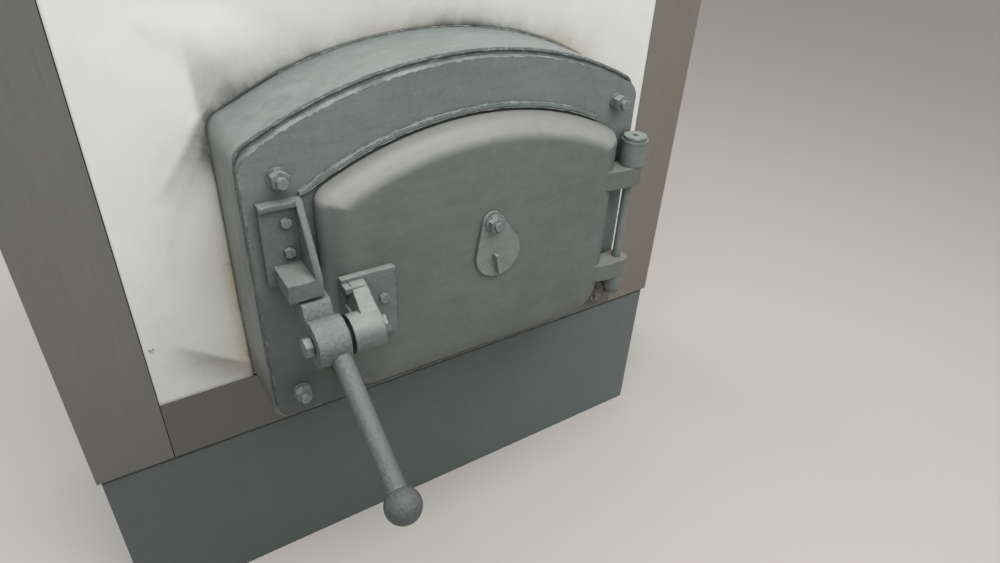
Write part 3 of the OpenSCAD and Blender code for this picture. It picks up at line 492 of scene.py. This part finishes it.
def bulge(x, z):
    """How far the sheet stands out, in metres."""
    d, side, k = near_line((x, z), CREASE_UP)
    rise = step_up(d, 0.0, 0.045) if side > 0 else 0.30 * step_up(d, 0.0, 0.05)
    out = (1 - step_up(x, -0.25, -0.12)) * (1 - step_up(z, 0.84, 0.90)) * step_up(z, 0.50, 0.66)
    h = 0.0052 * rise * out * (1 - step_up(d, 0.06, 0.12))
    d, side, k = near_line((x, z), CREASE_SIDE)
    h += 0.0016 * (1 - k) * max(0.0, 1 - d / (0.022 if side > 0 else 0.010))
    d, side, k = near_line((x, z), CREASE_LOW)
    h += 0.0046 * (1 - 0.75 * k) * (1 - step_up(d, 0.0, 0.034 if side > 0 else 0.09))
    h += 0.0010 * max(0.0, noise.noise(Vector((x * 5.0, 0.0, z * 5.0)))) * step_up(abs(x), 0.2, 0.3)
    return h * step_up(0.399 - abs(x), 0.0, 0.03) * step_up(1.006 - z, 0.0, 0.03) * step_up(z - 0.3965, 0.0, 0.012)


def soot_and_shade(x, z, d):
    """How sooty the sheet is and how much painted shade it takes, from the distance to the mouthpiece and the place
    along it.
    """
    n = noise.noise(Vector((x * 14.0, 3.0, z * 14.0)))
    over = step_up(z, 0.74, 0.80) * step_up(x, -0.287, -0.277)
    # Soot and painted shade in a grey halo over the arch.
    s = over * (0.34 + 0.25 * n) * math.exp(-d / 0.010)
    s += over * 0.55 * math.exp(-((x - 0.06) / 0.085) ** 2) * math.exp(-d / 0.009)
    s += over * 0.25 * math.exp(-((x - 0.06) / 0.16) ** 2) * math.exp(-d / 0.03)
    # Painted shadow: a soft grey patch beside the mouthpiece's upper left corner.
    s += 0.22 * math.exp(-(math.hypot(x + 0.250, (z - 0.80) * 0.8) / 0.045) ** 2) * step_up(x, -0.2835, -0.277)
    s += over * 0.28 * math.exp(-(math.hypot(x + 0.19, (z - 0.845) * 0.9) / 0.08) ** 2) * math.exp(-d / 0.035)
    s += 0.10 * math.exp(-d / 0.05) * over
    s += 0.095 * (1 - step_up(-x, 0.2, 0.27) * (1 - step_up(z, 0.66, 0.76)) * math.exp(-(d / 0.06) ** 2))
    # Painted shade: the left part darkens towards the bottom, where the light falls off.
    s += 0.17 * (1 - step_up(z, 0.42, 0.64)) * step_up(-x, 0.2, 0.27) * step_up(d, 0.0, 0.05)
    # Painted shade on the creases: the facets that turn away from the light are tinted darker.
    e, side, k = near_line((x, z), CREASE_SIDE)
    s += (1 - k) ** 0.7 * 0.60 * (1 - 0.8 * over) * math.exp(-(e / (0.036 if side > 0 else 0.0035)) ** 1.5)
    e, side, k = near_line((x, z), CREASE_UP)
    s += 0.24 * step_up(e * side, 0.0, 0.005) * (1 - k) ** 0.6 * step_up(k, 0.0, 0.2) * math.exp(-e / 0.04)
    left = step_up(-x, 0.2, 0.27) * (1 - step_up(z, 0.76, 0.79))
    # Painted shade beside the mouthpiece's left side, just below the corner.
    s += left * 0.5 * math.exp(-((z - 0.742) / 0.032) ** 2) * math.exp(-d / 0.016)
    s += left * (0.26 + 0.3 * n) * math.exp(-d / 0.006)
    # Painted shade under the low crease.
    e, side, k = near_line((x, z), CREASE_LOW)
    s += (1 - k) ** 0.8 * (0.04 + 0.80 * step_up(e * side, -0.002, 0.004)) * math.exp(-(e / (0.040 - 0.018 * k)) ** 1.6)
    right = step_up(x, 0.2, 0.27) * (1 - step_up(z, 0.76, 0.80))
    s += right * (0.25 + 0.3 * n) * math.exp(-d / 0.008)
    return max(0.0, min(1.0, s))


def front_panel():
    inner = arch_path()
    run = [0.0]
    for a, b in zip(inner, inner[1:]):
        run.append(run[-1] + math.dist(a, b))
    i1 = min(range(len(inner)), key=lambda i: abs(inner[i][1] - FL) + (inner[i][0] > 0) * 9)
    i2 = min(range(len(inner)), key=lambda i: abs(inner[i][1] - FR) + (inner[i][0] < 0) * 9)
    x0, z0, z1, zs = 0.400, 0.396, 1.007, 0.80
    over = [(-x0, zs), (-x0, z1), (x0, z1), (x0, zs)]
    length = sum(math.dist(a, b) for a, b in zip(over, over[1:]))
    outer = []
    for i, p in enumerate(inner):
        if i <= i1:
            outer.append([-x0, z0 + (zs - z0) * run[i] / run[i1]])
        elif i >= i2:
            outer.append([x0, zs + (z0 - zs) * (run[i] - run[i2]) / (run[-1] - run[i2])])
        else:
            s = length * (run[i] - run[i1]) / (run[i2] - run[i1])
            for a, b in zip(over, over[1:]):
                k = math.dist(a, b)
                if s <= k:
                    outer.append([a[0] + (b[0] - a[0]) * s / k, a[1] + (b[1] - a[1]) * s / k])
                    break
                s -= k
            else:
                outer.append([x0, zs])
    for corner in ((-x0, z1), (x0, z1)):
        i = min(range(len(outer)), key=lambda j: math.dist(outer[j], corner))
        outer[i] = list(corner)
    rings = 42
    verts, faces, marks = [], [], []
    for j in range(rings + 1):
        k = j / rings
        for p, q in zip(inner, outer):
            x, z = p[0] + (q[0] - p[0]) * k, p[1] + (q[1] - p[1]) * k
            d = min(math.dist((x, z), v) for v in inner[::6]) if k < 0.8 else 0.2
            d = min(d, math.dist((x, z), p))
            verts.append((x, -bulge(x, z), z))
            tan = step_up(-x, 0.26, 0.275) * math.exp(-d / (0.010 + 0.006 * step_up(0.52 - z, 0.0, 0.08)))
            tan *= 1.15 * step_up(z, 0.405, 0.43) * (1 - step_up(z, 0.58, 0.68))
            tan += 1.1 * math.exp(-((x - 0.235) / 0.05) ** 2) * step_up(z, 0.74, 0.78) * math.exp(-d / 0.013)
            tan += 0.35 * math.exp(-((x + 0.05) / 0.08) ** 2) * step_up(z, 0.74, 0.78) * math.exp(-d / 0.02)
            marks.append((soot_and_shade(x, z, d), min(1.0, tan), math.exp(-d / 0.009) * (0.75 if z < 0.74 else 0.88 - 0.33 * step_up(x, -0.15, 0.0))))
    for depth, inset in ((0.0015, 0.0), (0.016, 0.0)):
        for q in outer:
            verts.append((q[0], depth, q[1]))
            marks.append((0.0, 0.0, 0.0))
    n = len(inner)
    for j in range(rings + 2):
        for i in range(n - 1):
            a = j * n + i
            faces.append((a, a + 1, a + n + 1, a + n))
    me = bpy.data.meshes.new("buckled_panel")
    me.from_pydata(verts, [], faces)
    for at, name in enumerate(("soot_and_shade", "tan", "near")):
        me.attributes.new(name, "FLOAT", "POINT").data.foreach_set("value", [m[at] for m in marks])
    me.update()
    if me.polygons[3].normal.y > 0:
        me.flip_normals()
    me.polygons.foreach_set("use_smooth", [True] * len(me.polygons))
    o = bpy.data.objects.new("buckled_panel", me)
    bpy.context.scene.collection.objects.link(o)
    o.data.materials.append(stained_panel("panel_stained", (0.70, 0.705, 0.683)))
    s = o.modifiers.new("thickness", "SOLIDIFY")
    s.thickness = 0.0017
    s.offset = -1.0
    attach(o, BODY)
    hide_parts("front_panel")
    return o


front_panel()


# ---------------------------------------------------------------- rough beads of filler along two joints
def bead(name, path, at, size, seed, mat, flat=0.7, sides=8):
    """A bead of uneven thickness along a path in x and z, at height y."""
    verts, faces = [], []
    n = len(path)
    for i, p in enumerate(path):
        a, b = path[max(i - 1, 0)], path[min(i + 1, n - 1)]
        tx, tz = b[0] - a[0], b[1] - a[1]
        k = math.hypot(tx, tz)
        nx, nz = -tz / k, tx / k
        s = i * 0.33
        r = size * (0.72 + 0.55 * noise.noise(Vector((s * 0.55, seed, 0.0))) + 0.25 * noise.noise(Vector((s * 1.9, seed, 4.0))))
        r = max(r, size * 0.25) * min(1.0, 0.3 + i / 4, 0.3 + (n - 1 - i) / 4)
        off = size * 0.35 * noise.noise(Vector((s * 0.4, seed, 9.0)))
        for j in range(sides):
            w = 2 * math.pi * j / sides
            u, v = r * math.cos(w) + off, r * flat * math.sin(w)
            verts.append((p[0] + nx * u, at + v, p[1] + nz * u))
    for i in range(n - 1):
        for j in range(sides):
            a, b = i * sides + j, i * sides + (j + 1) % sides
            faces.append((a, b, b + sides, a + sides))
    faces.append(tuple(range(sides)))
    faces.append(tuple(range((n - 1) * sides + sides - 1, (n - 1) * sides - 1, -1)))
    me = bpy.data.meshes.new(name)
    me.from_pydata(verts, [], faces)
    me.update()
    bm = bmesh.new()
    bm.from_mesh(me)
    bmesh.ops.recalc_face_normals(bm, faces=bm.faces)
    bm.to_mesh(me)
    bm.free()
    me.polygons.foreach_set("use_smooth", [True] * len(me.polygons))
    o = bpy.data.objects.new(name, me)
    bpy.context.scene.collection.objects.link(o)
    me.materials.append(mat)
    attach(o, BODY)
    return o


filler = casting_paint("filler", grey(GREEN, 0.8), 21.0, 0.3, 0.9, 2.4, 0.0006, (0.25, 0.25, 0.23), 0.4, 260.0)
joint = casting_paint("joint_filler", grey(GREEN, 0.5), 23.0, 0.35, 0.9, 2.6, 0.0006, (0.34, 0.35, 0.33), 0.5, 300.0)
bead("mouth_filler", arch_path(0.0002, 0.400, 0.003), -0.0004, 0.0015, 1.0, filler, 0.8)
for s in (-1, 1):
    bead("low_filler_left" if s < 0 else "low_filler_right", [(s * 0.2728, 0.426 - 0.003 * i) for i in range(10)], 0.0035,
         0.0042, 3.0 + s, filler, 0.8)
bead("flange_filler", arch_path(-0.0034, 0.420, 0.0028), -0.1053, 0.0026, 5.0, joint, 0.6)

# A pale bead in the gap under the frame's lip: dust, painted pale so that the shade in the gap reads lighter.
lip = casting_paint("lip_dust_and_painted_light", (0.34, 0.355, 0.345), 27.0, 0.3, 0.15, 1.6, 0.0006, (0.40, 0.41, 0.39), 0.4, 260.0, None, 0.35, 0.1)
RIB, RX, RZ = 0.4484, 0.018, 0.333
bead("lip_dust_and_painted_light", [(RX + RIB * math.cos(w), RZ + RIB * math.sin(w)) for w in (2.104 - 0.0062 * i for i in range(158))], -0.1198,
     0.0017, 11.0, lip, 1.0)


# ---------------------------------------------------------------- cross-slotted heads of the panel's screws
def screw_heads():
    verts, faces = [], []
    rings, around, radius, tall = 12, 32, 0.0035, 0.0016
    for sx in (-1, 1):
        for z in (0.488, 0.945):
            base, turn = len(verts), 0.4 + sx * 0.7 + z * 3.0
            for j in range(rings + 1):
                q = j / rings
                for i in range(around):
                    w = 2 * math.pi * i / around
                    u, v = radius * q * math.cos(w), radius * q * math.sin(w)
                    a, b = u * math.cos(turn) + v * math.sin(turn), v * math.cos(turn) - u * math.sin(turn)
                    cut = max(step_up(0.00055 - abs(a), 0.0, 0.0003) * step_up(0.0021 - abs(b), 0.0, 0.0004),
                              step_up(0.00055 - abs(b), 0.0, 0.0003) * step_up(0.0021 - abs(a), 0.0, 0.0004))
                    y = tall * (1 - q ** 4) ** 0.5 - 0.0008 * cut if j < rings else 0.0
                    verts.append((sx * 0.391 + u, -max(y, 0.0), z + v))
            for j in range(rings):
                for i in range(around):
                    a, b = base + j * around + i, base + j * around + (i + 1) % around
                    faces.append((a, a + around, b + around, b))
    me = bpy.data.meshes.new("screw_heads")
    me.from_pydata(verts, [], faces)
    bm = bmesh.new()
    bm.from_mesh(me)
    bmesh.ops.remove_doubles(bm, verts=bm.verts, dist=1e-6)
    bmesh.ops.holes_fill(bm, edges=bm.edges, sides=around)
    bmesh.ops.recalc_face_normals(bm, faces=bm.faces)
    bm.to_mesh(me)
    bm.free()
    me.polygons.foreach_set("use_smooth", [True] * len(me.polygons))
    o = bpy.data.objects.new("screw_heads", me)
    bpy.context.scene.collection.objects.link(o)
    me.materials.append(MATS["screw_steel"])
    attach(o, BODY)
    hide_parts("panel_screws")


screw_heads()

# ---------------------------------------------------------------- floor and light
floor = bpy.data.objects.new("floor", bpy.data.meshes.new("floor"))
bm = bmesh.new()
bmesh.ops.create_grid(bm, x_segments=1, y_segments=1, size=12.0)
bm.to_mesh(floor.data)
bm.free()
bpy.context.scene.collection.objects.link(floor)
floor.location = (0.0, 2.0, 0.0)
t = Tree("floor")
t.done(t.mix(t.ramp(t.noise(0.7), 0.3, 0.7), (0.555, 0.53, 0.50), (0.575, 0.55, 0.52)), 0.75)
floor.data.materials.append(t.mat)

world = bpy.data.worlds.new("world")
world.use_nodes = True
world.node_tree.nodes["Background"].inputs[0].default_value = (1.0, 1.0, 0.98, 1.0)
world.node_tree.nodes["Background"].inputs[1].default_value = 0.45
bpy.context.scene.world = world


def area(name, at, to, size, power, colour=(1.0, 1.0, 1.0)):
    d = bpy.data.lights.new(name, "AREA")
    d.shape = "RECTANGLE"
    d.size, d.size_y = size
    d.energy = power
    d.color = colour
    o = bpy.data.objects.new(name, d)
    bpy.context.scene.collection.objects.link(o)
    o.location = at
    o.rotation_mode = "QUATERNION"
    o.rotation_quaternion = (Vector(to) - Vector(at)).to_track_quat("-Z", "Y")
    return o


area("sky", (0.0, -1.15, 2.4), (0.0, -0.1, 0.5), (2.2, 1.5), 54.0, (1.0, 1.0, 0.985))
area("back", (-1.6, 3.0, 2.2), (0.0, 0.2, 0.5), (2.0, 1.6), 45.0)
